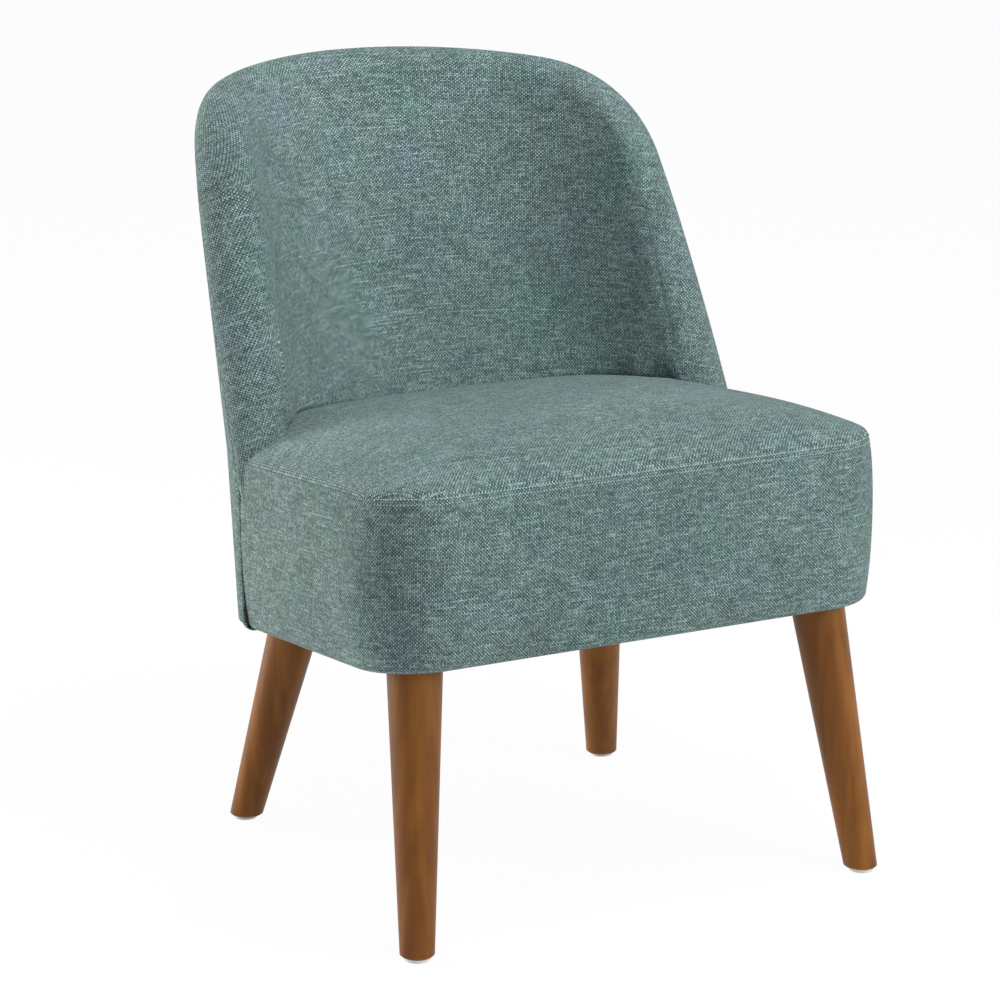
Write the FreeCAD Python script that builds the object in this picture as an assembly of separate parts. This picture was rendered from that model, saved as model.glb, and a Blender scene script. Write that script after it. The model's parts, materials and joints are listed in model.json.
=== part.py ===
import FreeCAD, Part
import math
import os

os.makedirs("parts", exist_ok=True)
V = FreeCAD.Vector
UP = V(0, 0, 1)

# Sizes in millimetres. The chair faces -Y, +Z is up and the floor is z = 0.
# A level is a height above the underside of the seat box, which falls toward the back.

# Seat box
front_y = -297.7             # front face of the boxing
seat_half_width = 277.0
corner_radius = 69.0         # front corners, in plan
underside_height = 267.5     # at the front
seat_slope = 0.08            # fall per millimetre of depth
boxing_height = 161.0
bottom_draw_in = 4.0         # how far the boxing turns under at its lower edge
top_draw_in = 4.0            # and how far it leans in at the seat seam
draw_in_share = 0.15         # part of each that is left a quarter of the way from the edge
hem_width = 20.0             # boxing turned under the rails
seat_crown = 43.0
crown_power = 4.4            # high, so that the crown rises close to the seams
crown_middle = 215.0         # front face to the top of the crown
crown_rear_reach = 292.0     # top of the crown to where it would die out
crown_rear_power = 2.5
crown_columns = 24           # patches of the crowned face, across
crown_rows = 22              # and along
crown_margin = 4.0           # of that face past the outline

# Barrel back: level circles whose centres move back with height
barrel_swell = 6.5           # the barrel is this much wider than the seat, on each side
barrel_start = 406.0         # height where the back leaves the seat
barrel_rear = 527.0          # front face to the rear of the barrel at that height
barrel_rake = 0.247
lower_flare = 0.08           # the barrel widens below the seat
fan_axis = 239.0             # front face to the upright line that the sections fan from
end_angle = 78.25            # half the sweep of the back, in degrees
sweep_sections = 20          # on each side of the centre
section_spacing = 6.0        # degrees between the sections of a short bent piece
face_points = 3              # down the inside face, in each section
roll_points = 5              # over the padded edge
sheet_points = 4             # up a sheet or a timber
room_spread = 1.002          # the room for the back runs just past its ends
back_height = 753.0
crown_arc = 1144.0           # top edge, with the back laid out flat
crown_arc_end = 8.3
shoulder_arc = 166.0
wing_lean = 64.2             # lean of the wing edge from level, laid out flat
unrolled_radius = 290.0
roll_thickness = 50.0        # padded edge
roll_rise = 20.0
lumbar_thickness = 88.0      # whole back at its centre, by the seat
wing_thickness = 54.0
tuck_level = 90.0            # lower edge of the inside back

# Sheet goods
cover_thickness = 2.0
wadding_thickness = 4.7
board_thickness = 2.5
tack_strip_width = 12.0
pad_thickness = 3.0
dust_cover_thickness = 0.8
dust_cover_inset = 14.0
webbing_thickness = 1.5
webbing_half_angle = 5.0
webbing_angles = (-30.0, -10.0, 10.0, 30.0)
clearance = 0.3

# Timber frame
frame_inset = 8.3            # outline to the outer face of the rails
rail_thickness = 22.0
rail_level = 80.0            # top of the seat rails
skirt_width = 12.0           # foam that rests on the rails
block_size = 95.0            # front corner blocks, square in plan
rear_block_level = 48.0
rear_block_depth = 45.0
rear_block_half_angle = 11.0
rear_block_trim = 10.0       # degrees that the cut runs past the block
back_timber = 20.0
back_rail_height = 45.0
frame_cover = 16.0           # padding over the top of the back frame
lower_rail_level = 112.0
upright_angle = 40.0
upright_half_angle = 4.0
post_angle = 66.0
post_half_angle = 4.5
dowel_radius = 4.0
dowel_length = 36.0
dowel_levels = (26.0, 56.0)
rear_joint_depth = 18.0
screw_length = 60.0
screw_radius = 2.2
screw_head_radius = 4.5
screw_head_height = 3.0
screw_half_angle = 7.0

# Springs
spring_columns = (-118.0, -59.0, 0.0, 59.0, 118.0)
spring_wire_radius = 1.9
spring_pitch = 24.0
spring_half_width = 24.0
spring_front_inset = 15.0    # rail face to the first bar
clip_lap = 5.0               # clip past the wire on each side
clip_tongue = 6.0            # floor of the clip past its roof
clip_half_width = 7.0
clip_wall = 1.2

# Legs
front_foot = (32.0, 3.0)     # in from the side of the seat, behind the front face
rear_foot = (66.0, 439.0)
front_run = (-0.096, 0.188)  # sideways and backward, per millimetre of height
rear_run = (-0.167, -0.233)
leg_foot_radius = 16.0
leg_top_radius = 26.0
foot_chamfer = 1.5
glide_height = 4.0
glide_radius = 12.0
glide_rounding = 1.2
nail_radius = 1.5
nail_length = 18.0
bolt_radius = 4.0
bolt_in_leg = 40.0
bolt_in_block = 26.0
insert_radius = 6.0
insert_length = 20.0
insert_set_in = 4.0

# Staples that hold the dust cover
staple_count = 8             # spaces along the front, along each side and round the rear
staple_end_angle = 36.0      # the last staple round the rear, short of the legs
staple_radius = 0.6
staple_half_crown = 5.0
staple_leg = 9.0
staple_edge = 6.0            # edge of the dust cover to the staples

cover_half_width = seat_half_width - top_draw_in
crown_reach = crown_middle - top_draw_in
fan_axis_y = front_y + fan_axis
barrel_radius = seat_half_width + barrel_swell
side_end_y = fan_axis_y + seat_half_width / math.tan(math.radians(end_angle))
bottom_rear = barrel_rear - barrel_rake * boxing_height
crown_rear = crown_middle + crown_rear_reach
cover_depth = cover_thickness + clearance
frame_depth = cover_depth + board_thickness + clearance
frame_inner_depth = frame_depth + back_timber
rail_base = cover_depth
foam_level = rail_level + clearance
spring_level = rail_level + clip_wall + clearance + spring_wire_radius
clip_roof_level = spring_level + spring_wire_radius + clearance
pad_level = clip_roof_level + clip_wall + clearance
dust_cover_level = -clearance - dust_cover_thickness
leg_top_level = dust_cover_level - clearance
frame_half = seat_half_width - frame_inset
frame_front = front_y + frame_inset
block_inner_x = frame_half - block_size
block_inner_y = frame_front + block_size


def seat_z(y, level):
    return underside_height - seat_slope * (y - front_y) + level


def on_seat(x, y, level):
    return V(x, y, seat_z(y, level))


def line(start, end):
    return Part.LineSegment(start, end).toShape()


def arc(start, middle, end):
    return Part.Arc(start, middle, end).toShape()


def spline(points):
    curve = Part.BSplineCurve()
    curve.interpolate(Points=points, Parameters=[float(i) for i in range(len(points))])
    return curve.toShape()


def polygon(points):
    return Part.makePolygon(points + points[:1])


def prism(wire, height):
    return Part.Face(wire).extrude(UP * height)


def rod(radius, start, end):
    return Part.makeCylinder(radius, (end - start).Length, start, end - start)


def mirrored(shape):
    return shape.mirror(V(0, 0, 0), V(1, 0, 0))


def both_sides(shapes):
    return shapes + [mirrored(shape) for shape in shapes]


def spread(start, end, count):
    return [start + (end - start) * i / count for i in range(count + 1)]


def save(name, shape):
    solids = shape.Solids
    shape = solids[0] if len(solids) == 1 else Part.Compound(solids)
    print(name, len(solids), "solid(s)", "valid" if shape.isValid() else "INVALID", shape.BoundBox)
    shape.exportStep("parts/" + name + ".step")


def save_pair(name, shape):
    """Save a piece from the +X side and its mirror image; left is at -X, as seen from the front."""
    save(name + "_right", shape)
    save(name + "_left", mirrored(shape))


# Shape of the barrel

def rim(angle):
    """Height of the padded top edge at an angle, and its lean from level there."""
    along = unrolled_radius * math.radians(abs(angle))
    crown_lean = math.radians(crown_arc_end)
    side_lean = math.radians(wing_lean)
    crown_end = crown_arc * math.sin(crown_lean)
    crown_low = back_height - crown_arc * (1 - math.cos(crown_lean))
    shoulder_end = crown_end + shoulder_arc * (math.sin(side_lean) - math.sin(crown_lean))
    shoulder_low = crown_low - shoulder_arc * (math.cos(crown_lean) - math.cos(side_lean))
    if along < crown_end:
        lean = math.asin(along / crown_arc)
        return back_height - crown_arc * (1 - math.cos(lean)), lean
    if along < shoulder_end:
        lean = math.asin((along - crown_end) / shoulder_arc + math.sin(crown_lean))
        return crown_low - shoulder_arc * (math.cos(crown_lean) - math.cos(lean)), lean
    return shoulder_low - (along - shoulder_end) * math.tan(side_lean), side_lean


def below_rim(angle, distance):
    """Height of the line that runs at a distance inside the top edge."""
    height, lean = rim(angle)
    return height - distance / math.cos(lean)


def frame_top(angle):
    return below_rim(angle, frame_cover)


def rail_underside(angle):
    return below_rim(angle, frame_cover + back_rail_height)


def on_barrel(angle, z, depth):
    """Point at a depth inside the barrel, in the upright plane at an angle."""
    turn = math.radians(angle)
    radius = barrel_radius + lower_flare * max(0.0, barrel_start - z)
    centre = front_y + barrel_rear + barrel_rake * (z - barrel_start) - radius
    offset = fan_axis_y - centre
    reach = math.sqrt(radius ** 2 - (offset * math.sin(turn)) ** 2) - offset * math.cos(turn) - depth
    return V(reach * math.sin(turn), fan_axis_y + reach * math.cos(turn), z)


def barrel_z(angle, level):
    """Height of a level where the barrel crosses it at an angle."""
    near = seat_z(fan_axis_y, level)
    return seat_z(on_barrel(angle, near, frame_depth).y, level)


def slope_lift(angle, depth):
    """Rise of the tilted seat box over a depth inward."""
    return seat_slope * math.cos(math.radians(angle)) * depth


def sheet_section(angle, outer_depth, inner_depth, low, high, lift=0.0):
    """Slice of a bent sheet; lift raises its inner face."""
    heights = spread(low, high, sheet_points)
    outer = [on_barrel(angle, z, outer_depth) for z in heights]
    inner = [on_barrel(angle, z + lift, inner_depth) for z in reversed(heights)]
    return Part.Wire([spline(outer), line(outer[-1], inner[0]), spline(inner), line(inner[-1], outer[0])])


def padded_edge(angle, depth, low, start_turn):
    """Curve over the padded edge and down the inside face, at a depth under the cover."""
    half = roll_thickness / 2
    base = below_rim(angle, roll_rise)
    rise = base - below_rim(angle, 2 * roll_rise - depth)
    points = []
    for turn in spread(start_turn, math.pi, roll_points):
        across = half - (half - depth) * math.cos(turn)
        points.append(on_barrel(angle, base + rise * math.sin(turn), across))
    bend = math.cos(math.pi / 2 * angle / end_angle) ** 2
    growth = wing_thickness + (lumbar_thickness - wing_thickness) * bend - roll_thickness
    for share in spread(1 / (face_points + 1), 1.0, face_points):
        across = roll_thickness - depth + growth * share
        points.append(on_barrel(angle, base + (low - base) * share, across))
    return points


def frame_turn(depth):
    """Turn of the padded edge, at a depth, where it passes the top of the frame."""
    return math.asin((roll_rise - frame_cover + clearance) / (roll_rise - depth))


def layer_section(angle, outer_depth, inner_depth, outer_turn, inner_turn):
    low = barrel_z(angle, tuck_level)
    outer = padded_edge(angle, outer_depth, low, outer_turn)
    inner = padded_edge(angle, inner_depth, low, inner_turn)[::-1]
    return Part.Wire([spline(outer), line(outer[-1], inner[0]), spline(inner), line(inner[-1], outer[0])])


def foam_section(angle, depth, back_depth):
    low = barrel_z(angle, tuck_level)
    high = frame_top(angle) + clearance
    face = padded_edge(angle, depth, low, frame_turn(depth))
    behind = [on_barrel(angle, z, back_depth) for z in spread(low, high, sheet_points)]
    return Part.Wire([spline(face), line(face[-1], behind[0]), spline(behind), line(behind[-1], face[0])])


def room_section(angle):
    """Slice of the space that the back takes out of the seat, from the crest of its edge outward."""
    face = padded_edge(angle, -clearance, barrel_z(angle, tuck_level), math.pi / 2)
    low = barrel_z(angle, rail_level)
    foot = V(face[-1].x, face[-1].y, low)
    outside = [on_barrel(angle, z, -corner_radius) for z in spread(low, face[0].z, sheet_points)]
    return Part.Wire([spline(face), line(face[-1], foot), line(foot, outside[0]), spline(outside),
                      line(outside[-1], face[0])])


def outside_section(angle):
    """Slice of the outside back cover, turned under the rear rail."""
    low = barrel_z(angle, 0.0)
    high = below_rim(angle, roll_rise) - clearance
    outer = [on_barrel(angle, z, 0.0) for z in spread(low, high, sheet_points)]
    inner = [on_barrel(angle, z, cover_thickness) for z in spread(high, low + cover_thickness, sheet_points)]
    hem_low = low + slope_lift(angle, hem_width)
    hem_bottom = on_barrel(angle, hem_low, hem_width)
    hem_top = on_barrel(angle, hem_low + cover_thickness, hem_width)
    return Part.Wire([spline(outer), line(outer[-1], inner[0]), spline(inner), line(inner[-1], hem_top),
                      line(hem_top, hem_bottom), line(hem_bottom, outer[0])])


def fan(section, angles):
    return Part.makeLoft([section(angle) for angle in angles], True)


def whole_sweep():
    return spread(-end_angle, end_angle, 2 * sweep_sections)


def short_sweep(start, end):
    return spread(start, end, math.ceil((end - start) / section_spacing))


def bent_timber(start, end, low, high):
    return fan(lambda a: sheet_section(a, frame_depth, frame_inner_depth, low(a), high(a)),
               short_sweep(start, end))


# Seat box shapes

def outline(inset, level, rear):
    """Closed plan of the seat box, drawn in by inset."""
    wide = seat_half_width - inset
    front = front_y + inset
    radius = corner_radius - inset
    bend = radius * (1 - math.sqrt(0.5))
    p = lambda x, y: on_seat(x, y, level)
    return Part.Wire([
        line(p(-wide, side_end_y), p(-wide, front + radius)),
        arc(p(-wide, front + radius), p(-wide + bend, front + bend), p(-wide + radius, front)),
        line(p(-wide + radius, front), p(wide - radius, front)),
        arc(p(wide - radius, front), p(wide - bend, front + bend), p(wide, front + radius)),
        line(p(wide, front + radius), p(wide, side_end_y)),
        arc(p(wide, side_end_y), p(0, front_y + rear - inset), p(-wide, side_end_y))])


def crown_rise(x, along):
    """Height of the crown, with along measured back from its top."""
    across = 1 - abs(x / cover_half_width) ** crown_power
    if along < 0:
        length = 1 - (-along / crown_reach) ** crown_power
    else:
        length = 1 - (along / crown_rear_reach) ** crown_rear_power
    return seat_crown * min(across, length) * max(0.0, across, length)


def crown_face(drop):
    """Crowned top of the seat, lowered by drop and run a little past the outline."""
    wide = cover_half_width + crown_margin
    grid = []
    for x in spread(-wide, wide, crown_columns):
        row = []
        for along in spread(-crown_reach - crown_margin, crown_rear_reach + crown_margin, crown_rows):
            level = boxing_height + clearance + cover_thickness - drop + crown_rise(x, along)
            row.append(on_seat(x, front_y + crown_middle + along, level))
        grid.append(row)
    surface = Part.BSplineSurface()
    surface.interpolate(grid)
    return surface.toShape()


def behind_seams(margin):
    """Wedge behind the two side seams, moved forward by margin."""
    far = 2 * back_height
    edge = V(math.sin(math.radians(end_angle)), math.cos(math.radians(end_angle)), 0) * far
    tip = V(0, fan_axis_y - margin, 0)
    left = V(-edge.x, edge.y, 0)
    back = V(0, far, 0)
    return prism(polygon([tip, tip + edge, tip + edge + back, tip + left + back, tip + left]), far)


def boxing_body(inset):
    """Seat box with its sides drawn in toward both edges."""
    draws = (bottom_draw_in, draw_in_share * bottom_draw_in, 0.0, draw_in_share * top_draw_in, top_draw_in)
    levels = spread(0.0, boxing_height, len(draws) - 1)
    return Part.makeLoft([outline(inset + d, level, bottom_rear) for d, level in zip(draws, levels)], True)


def make_boxing():
    hem_zone = prism(outline(0.0, -rail_level, bottom_rear), rail_level + cover_thickness)
    hollow = boxing_body(cover_thickness).cut(hem_zone)
    mouth = prism(outline(bottom_draw_in + hem_width, -rail_level, bottom_rear), 2 * rail_level)
    return boxing_body(0.0).cut(hollow).cut(mouth).cut(behind_seams(clearance))


def make_seat_layers():
    room = fan(room_section, [angle * room_spread for angle in whole_sweep()])
    tall = back_height
    cover_sheet = crown_face(cover_thickness).extrude(UP * cover_thickness)
    cover = prism(outline(top_draw_in, 0.0, crown_rear), tall).common(cover_sheet).cut(room)
    padded_inset = top_draw_in + cover_depth
    wadding_drop = cover_depth + wadding_thickness
    wadding_sheet = crown_face(wadding_drop).extrude(UP * wadding_thickness)
    wadding = prism(outline(padded_inset, 0.0, crown_rear), tall).common(wadding_sheet).cut(room)
    above = crown_face(wadding_drop + clearance).extrude(UP * tall)
    foam = prism(outline(padded_inset, foam_level, crown_rear), 2 * boxing_height).cut(above).cut(room)
    pocket_height = pad_level + pad_thickness + clearance - rail_level
    pocket = prism(outline(padded_inset + skirt_width, rail_level, crown_rear), pocket_height)
    pad_inset = padded_inset + skirt_width + clearance
    pad = prism(outline(pad_inset, pad_level, crown_rear), pad_thickness).cut(room)
    return cover, wadding, foam.cut(pocket), pad


# Seat frame

def tilted_box(x0, x1, y0, y1, low, high):
    corners = [on_seat(x0, y0, low), on_seat(x1, y0, low), on_seat(x1, y1, low), on_seat(x0, y1, low)]
    return prism(polygon(corners), high - low)


def make_front_rail():
    return tilted_box(-block_inner_x, block_inner_x, frame_front, frame_front + rail_thickness,
                      rail_base, rail_level)


def make_side_rail():
    rail = tilted_box(frame_half - rail_thickness, frame_half, block_inner_y, side_end_y + rail_thickness,
                      rail_base, rail_level)
    return rail.cut(behind_seams(0.0))


def make_front_block():
    radius = corner_radius - frame_inset
    bend = radius * (1 - math.sqrt(0.5))
    p = lambda x, y: on_seat(x, y, rail_base)
    wire = Part.Wire([
        line(p(block_inner_x, frame_front), p(frame_half - radius, frame_front)),
        arc(p(frame_half - radius, frame_front), p(frame_half - bend, frame_front + bend),
            p(frame_half, frame_front + radius)),
        line(p(frame_half, frame_front + radius), p(frame_half, block_inner_y)),
        line(p(frame_half, block_inner_y), p(block_inner_x, block_inner_y)),
        line(p(block_inner_x, block_inner_y), p(block_inner_x, frame_front))])
    return prism(wire, rail_level - rail_base)


def make_rear_rail():
    inner = frame_depth + rail_thickness
    return fan(lambda a: sheet_section(a, frame_depth, inner, barrel_z(a, rail_base), barrel_z(a, rail_level),
                                       slope_lift(a, rail_thickness)), whole_sweep())


def make_rear_block(angle):
    """Block behind a rear leg, cut to the curve of the rear rail."""
    start = angle - rear_block_half_angle
    end = angle + rear_block_half_angle
    rail_inner = frame_depth + rail_thickness
    z = barrel_z(angle, rail_base)
    inner = [on_barrel(a, z, rail_inner + rear_block_depth) for a in (start, end)]
    outer = [on_barrel(a, z, 0.0) for a in (end, start)]
    plan = polygon([on_seat(p.x, p.y, rail_base) for p in inner + outer])
    taken = fan(lambda a: sheet_section(a, -rail_thickness, rail_inner, barrel_z(a, -rail_level),
                                        barrel_z(a, rail_level), slope_lift(a, rail_thickness)),
                short_sweep(start - rear_block_trim, end + rear_block_trim))
    return prism(plan, rear_block_level - rail_base).cut(taken)


# Back frame

def rail_top(angle):
    return barrel_z(angle, rail_level)


def lower_rail_base(angle):
    return barrel_z(angle, lower_rail_level)


def lower_rail_top(angle):
    return barrel_z(angle, lower_rail_level + back_rail_height)


def make_top_rail():
    reach = upright_angle + upright_half_angle
    return bent_timber(-reach, reach, rail_underside, frame_top)


def make_wing_rail():
    return bent_timber(upright_angle + upright_half_angle, post_angle - post_half_angle,
                       rail_underside, frame_top)


def make_post():
    return bent_timber(post_angle - post_half_angle, post_angle + post_half_angle, rail_top, frame_top)


def make_upright():
    return bent_timber(upright_angle - upright_half_angle, upright_angle + upright_half_angle,
                       rail_top, rail_underside)


def make_lower_rail(start, end):
    return bent_timber(start, end, lower_rail_base, lower_rail_top)


def make_webbing(angle):
    depth = frame_inner_depth + clearance
    return fan(lambda a: sheet_section(a, depth, depth + webbing_thickness, lower_rail_base(a), frame_top(a)),
               short_sweep(angle - webbing_half_angle, angle + webbing_half_angle))


# Dowels and screws

def dowel(centre, direction):
    half = direction.normalize() * (dowel_length / 2)
    return rod(dowel_radius, centre - half, centre + half)


def level_dowel(angle, z, depth):
    turn = math.radians(angle)
    return dowel(on_barrel(angle, z, depth), V(math.cos(turn), -math.sin(turn), 0))


def upright_dowel(angle, z):
    depth = frame_depth + back_timber / 2
    return dowel(on_barrel(angle, z, depth), on_barrel(angle, z + 1, depth) - on_barrel(angle, z - 1, depth))


def sloped_dowel(angle, depth):
    """Dowel along the middle of the sloping back rail."""
    middle = lambda a: on_barrel(a, (frame_top(a) + rail_underside(a)) / 2, depth)
    return dowel(middle(angle), middle(angle + 1) - middle(angle - 1))


def make_dowels():
    middle = rail_thickness / 2
    depth = frame_depth + back_timber / 2
    upright_inner = upright_angle - upright_half_angle
    upright_outer = upright_angle + upright_half_angle
    post_inner = post_angle - post_half_angle
    dowels = []
    for level in dowel_levels:
        dowels.append(dowel(on_seat(block_inner_x, frame_front + middle, level), V(1, 0, 0)))
        dowels.append(dowel(on_seat(frame_half - middle, block_inner_y, level), V(0, 1, 0)))
        dowels.append(level_dowel(end_angle, barrel_z(end_angle, level), rear_joint_depth))
    for angle in (upright_angle, post_angle):
        dowels.append(upright_dowel(angle, rail_top(angle)))
    dowels.append(upright_dowel(upright_angle, rail_underside(upright_angle)))
    for angle in (upright_outer, post_inner):
        dowels.append(sloped_dowel(angle, depth))
    for angle in (upright_inner, upright_outer, post_inner):
        dowels.append(level_dowel(angle, (lower_rail_base(angle) + lower_rail_top(angle)) / 2, depth))
    return both_sides(dowels)


def make_screw(angle):
    """Screw through a rear block into the rear rail, head inside the block's face."""
    depth = frame_depth + rail_thickness + rear_block_depth - screw_head_height
    z = barrel_z(angle, (rail_base + rear_block_level) / 2)
    head = on_barrel(angle, z, depth)
    unit = (on_barrel(angle, z, 0) - head).normalize()
    shank = rod(screw_radius, head, head + unit * screw_length)
    cone = Part.makeCone(screw_head_radius, screw_radius, screw_head_height, head, unit)
    return shank.fuse(cone)


# Springs

def spring_rear_y(x):
    z = seat_z(front_y + bottom_rear, rail_level)
    radius = barrel_radius + lower_flare * (barrel_start - z)
    centre = front_y + barrel_rear + barrel_rake * (z - barrel_start) - radius
    return centre + math.sqrt((radius - frame_depth - rail_thickness / 2) ** 2 - x ** 2)


def make_spring(x):
    start = frame_front + spring_front_inset
    run = spring_rear_y(x) - start
    count = round(run / spring_pitch)
    pitch = run / count
    half = spring_half_width - pitch / 2
    edges = []
    for i in range(count + 1):
        y = start + pitch * i
        side = 1 if i % 2 == 0 else -1
        p = lambda across, along: on_seat(x + side * across, y + along, spring_level)
        edges.append(line(p(-half, 0), p(half, 0)))
        if i < count:
            edges.append(arc(p(half, 0), p(half + pitch / 2, pitch / 2), p(half, pitch)))
    path = Part.Wire(edges)
    circle = Part.makeCircle(spring_wire_radius, on_seat(x - half, start, spring_level), V(1, 0, 0))
    return path.makePipeShell([Part.Wire(circle)], True, False)


def make_clip(x, y, inward):
    """Bent clip that holds the end bar of a spring; inward is the sign of its open side."""
    back = y - inward * clip_lap
    inner = back + inward * clip_wall
    lip = y + inward * clip_lap
    tongue = lip + inward * clip_tongue
    roof = clip_roof_level + clip_wall
    floor = rail_level + clip_wall
    left = x - clip_half_width
    profile = [(back, rail_level), (tongue, rail_level), (tongue, floor), (inner, floor),
               (inner, clip_roof_level), (lip, clip_roof_level), (lip, roof), (back, roof)]
    face = Part.Face(polygon([on_seat(left, along, level) for along, level in profile]))
    return face.extrude(V(2 * clip_half_width, 0, 0))


def make_clips():
    clips = []
    for x in spring_columns:
        clips.append(make_clip(x, frame_front + spring_front_inset, 1))
        clips.append(make_clip(x, spring_rear_y(x), -1))
    return clips


# Legs

def leg_axis(spot, slant):
    """Foot of a leg on the floor and the run of its centre line, on the +X side."""
    return V(seat_half_width - spot[0], front_y + spot[1], 0), V(slant[0], slant[1], 1)


def leg_at(foot, run, level):
    """Where the centre line of a leg meets a level."""
    return foot + run * (seat_z(foot.y, level) / (1 + seat_slope * run.y))


def leg_bolt(foot, run):
    unit = run / run.Length
    top = leg_at(foot, run, rail_base)
    return rod(bolt_radius, top - unit * bolt_in_leg, top + unit * bolt_in_block)


def leg_insert(foot, run):
    unit = run / run.Length
    start = leg_at(foot, run, rail_base) + unit * insert_set_in
    return rod(insert_radius, start, start + unit * insert_length)


def insert_hole(foot, run):
    unit = run / run.Length
    start = leg_at(foot, run, rail_base)
    return rod(insert_radius, start - unit * insert_set_in, start + unit * (insert_set_in + insert_length))


def glide_nail(foot):
    return Part.makeCylinder(nail_radius, nail_length, foot + UP * (glide_height / 2))


def make_glide(foot):
    disc = Part.makeCylinder(glide_radius, glide_height, foot)
    rounded = disc.makeFillet(glide_rounding, [e for e in disc.Edges if e.BoundBox.ZMax < glide_height / 2])
    return rounded.cut(glide_nail(foot))


def make_leg(foot, run):
    top = leg_at(foot, run, leg_top_level)
    unit = run / run.Length
    length = (top - foot).Length
    spare = 2 * leg_top_radius
    growth = (leg_top_radius - leg_foot_radius) / length
    cone = Part.makeCone(leg_foot_radius - growth * spare, leg_top_radius + growth * spare,
                         length + 2 * spare, foot - unit * spare, unit)
    wide = 4 * leg_top_radius
    floor = Part.makeBox(2 * wide, 2 * wide, wide, V(foot.x - wide, foot.y - wide, glide_height - wide))
    seat = tilted_box(top.x - wide, top.x + wide, top.y - wide, top.y + wide,
                      leg_top_level, leg_top_level + wide)
    leg = cone.cut(floor).cut(seat)
    foot_edges = [e for e in leg.Edges if e.BoundBox.ZMax < glide_height + foot_chamfer]
    leg = leg.makeChamfer(foot_chamfer, foot_edges)
    return leg.cut(leg_bolt(foot, run)).cut(glide_nail(foot))


# Underside

def make_staple(x, y, angle):
    """Staple under the dust cover, its crown turned by an angle from the X axis."""
    turn = math.radians(angle)
    half = V(math.cos(turn), -math.sin(turn), seat_slope * math.sin(turn)) * staple_half_crown
    middle = on_seat(x, y, dust_cover_level - staple_radius - clearance)
    ends = (middle - half, middle + half)
    crown = rod(staple_radius, *ends)
    return crown.fuse([rod(staple_radius, end, end + UP * staple_leg) for end in ends])


def make_staples():
    inset = dust_cover_inset + staple_edge
    across = spread(-block_inner_x, block_inner_x, staple_count)
    staples = [make_staple(x, front_y + inset, 0.0) for x in across]
    for angle in spread(-staple_end_angle, staple_end_angle, staple_count):
        spot = on_barrel(angle, barrel_z(angle, 0.0), inset)
        staples.append(make_staple(spot.x, spot.y, angle))
    side_x = seat_half_width - inset
    sides = [make_staple(side_x, y, 90.0) for y in spread(block_inner_y, side_end_y - inset, staple_count)]
    return staples + both_sides(sides)


# Build

seat_cover, seat_wadding, seat_foam, spring_pad = make_seat_layers()
save("seat_top_cover", seat_cover)
save("seat_wadding", seat_wadding)
save("seat_foam", seat_foam)
save("spring_pad", spring_pad)

legs = [leg_axis(front_foot, front_run), leg_axis(rear_foot, rear_run)]
rear_leg_top = leg_at(*legs[1], rail_base)
rear_leg_angle = math.degrees(math.atan2(rear_leg_top.x, rear_leg_top.y - fan_axis_y))
bolts = both_sides([leg_bolt(foot, run) for foot, run in legs])
insert_rods = [leg_insert(foot, run) for foot, run in legs]
inserts = [insert.cut(leg_bolt(foot, run)) for insert, (foot, run) in zip(insert_rods, legs)]
insert_holes = Part.Compound(both_sides([insert_hole(foot, run) for foot, run in legs]))
bolt_shape = Part.Compound(bolts)
staples = make_staples()
staple_shape = Part.Compound(staples)
dowels = make_dowels()
dowel_shape = Part.Compound(dowels)
screw_angles = (rear_leg_angle - screw_half_angle, rear_leg_angle + screw_half_angle)
screws = both_sides([make_screw(angle) for angle in screw_angles])
screw_shape = Part.Compound(screws)

save("seat_boxing", make_boxing().cut(staple_shape))
save("seat_front_rail", make_front_rail().cut(dowel_shape).cut(staple_shape))
save_pair("seat_side_rail", make_side_rail().cut(dowel_shape).cut(staple_shape))
save("seat_rear_rail", make_rear_rail().cut(dowel_shape).cut(screw_shape).cut(staple_shape))
front_block = make_front_block().cut(dowel_shape).cut(insert_holes).cut(bolt_shape).cut(staple_shape)
save_pair("front_corner_block", front_block)
rear_block = make_rear_block(rear_leg_angle).cut(screw_shape).cut(insert_holes).cut(bolt_shape)
save_pair("rear_corner_block", rear_block)

save("back_top_rail", make_top_rail().cut(dowel_shape))
save_pair("back_wing_rail", make_wing_rail().cut(dowel_shape))
save_pair("back_post", make_post().cut(dowel_shape))
save_pair("back_upright", make_upright().cut(dowel_shape))
side_span = (upright_angle + upright_half_angle, post_angle - post_half_angle)
centre_span = upright_angle - upright_half_angle
save_pair("back_lower_rail", make_lower_rail(*side_span).cut(dowel_shape))
save("back_lower_rail_centre", make_lower_rail(-centre_span, centre_span).cut(dowel_shape))
save("frame_dowels", Part.Compound(dowels))
save("corner_block_screws", Part.Compound(screws))

for number, angle in enumerate(webbing_angles, 1):
    save("back_webbing_" + str(number), make_webbing(angle))
for number, x in enumerate(spring_columns, 1):
    save("zigzag_spring_" + str(number), make_spring(x))
save("spring_clips", Part.Compound(make_clips()))

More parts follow.
